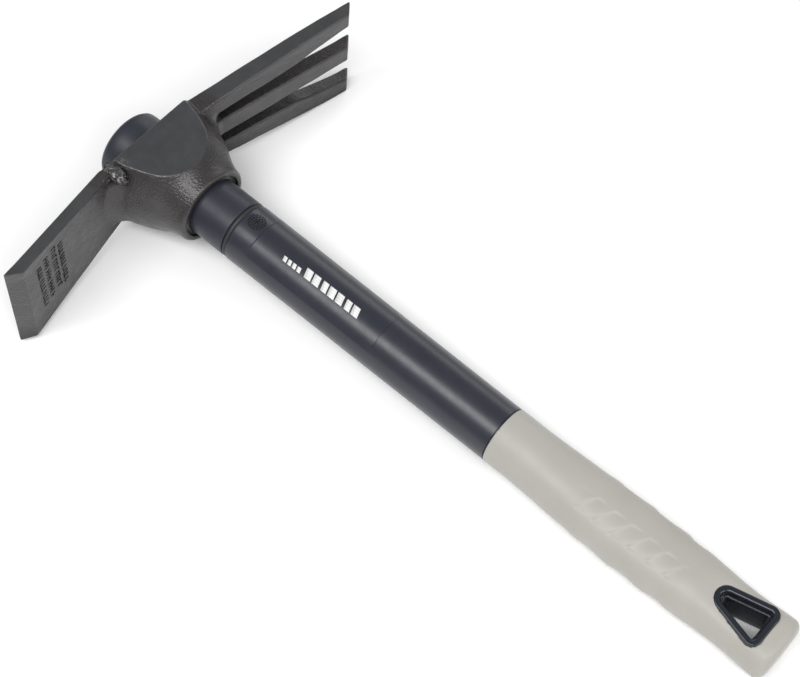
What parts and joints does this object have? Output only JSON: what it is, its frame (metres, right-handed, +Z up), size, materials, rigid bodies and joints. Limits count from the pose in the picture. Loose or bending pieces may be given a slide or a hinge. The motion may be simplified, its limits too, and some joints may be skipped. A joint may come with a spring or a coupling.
{
  "type": "hand grub hoe and cultivator",
  "caption": "Short-handled grub hoe with a flared digging blade on one side, cultivator tines on the other, a fibreglass-cored handle and a soft grip with a hang hole.",
  "frame": {"origin": "bottom centre of the bounding box, on the floor that the tool lies on", "axes": "+Y along the handle from the butt towards the head, +X from the blade towards the tines, +Z up"},
  "size_m": [0.225, 0.4006, 0.0633],
  "materials": {
    "head_steel": "forged steel with a thin dark grey lacquer, satin, fine orange-peel",
    "epoxy": "dark cured resin",
    "plug_plastic": "satin charcoal-navy moulding",
    "fibreglass": "pultruded glass fibre, hidden",
    "ring_rubber": "dark",
    "jacket_plastic": "satin charcoal-navy moulding",
    "grip_rubber": "soft warm grey, matte",
    "liner_plastic": "glossy near-black blue"
  },
  "bodies": {
    "root": {"head_forging": "head_steel", "bonding_epoxy": "epoxy", "eye_plug": "plug_plastic", "core_rod": "fibreglass", "parting_ring": "ring_rubber", "handle_jacket": "jacket_plastic", "grip_sleeve": "grip_rubber", "hang_hole_liner": "liner_plastic"}
  },
  "joints": []
}
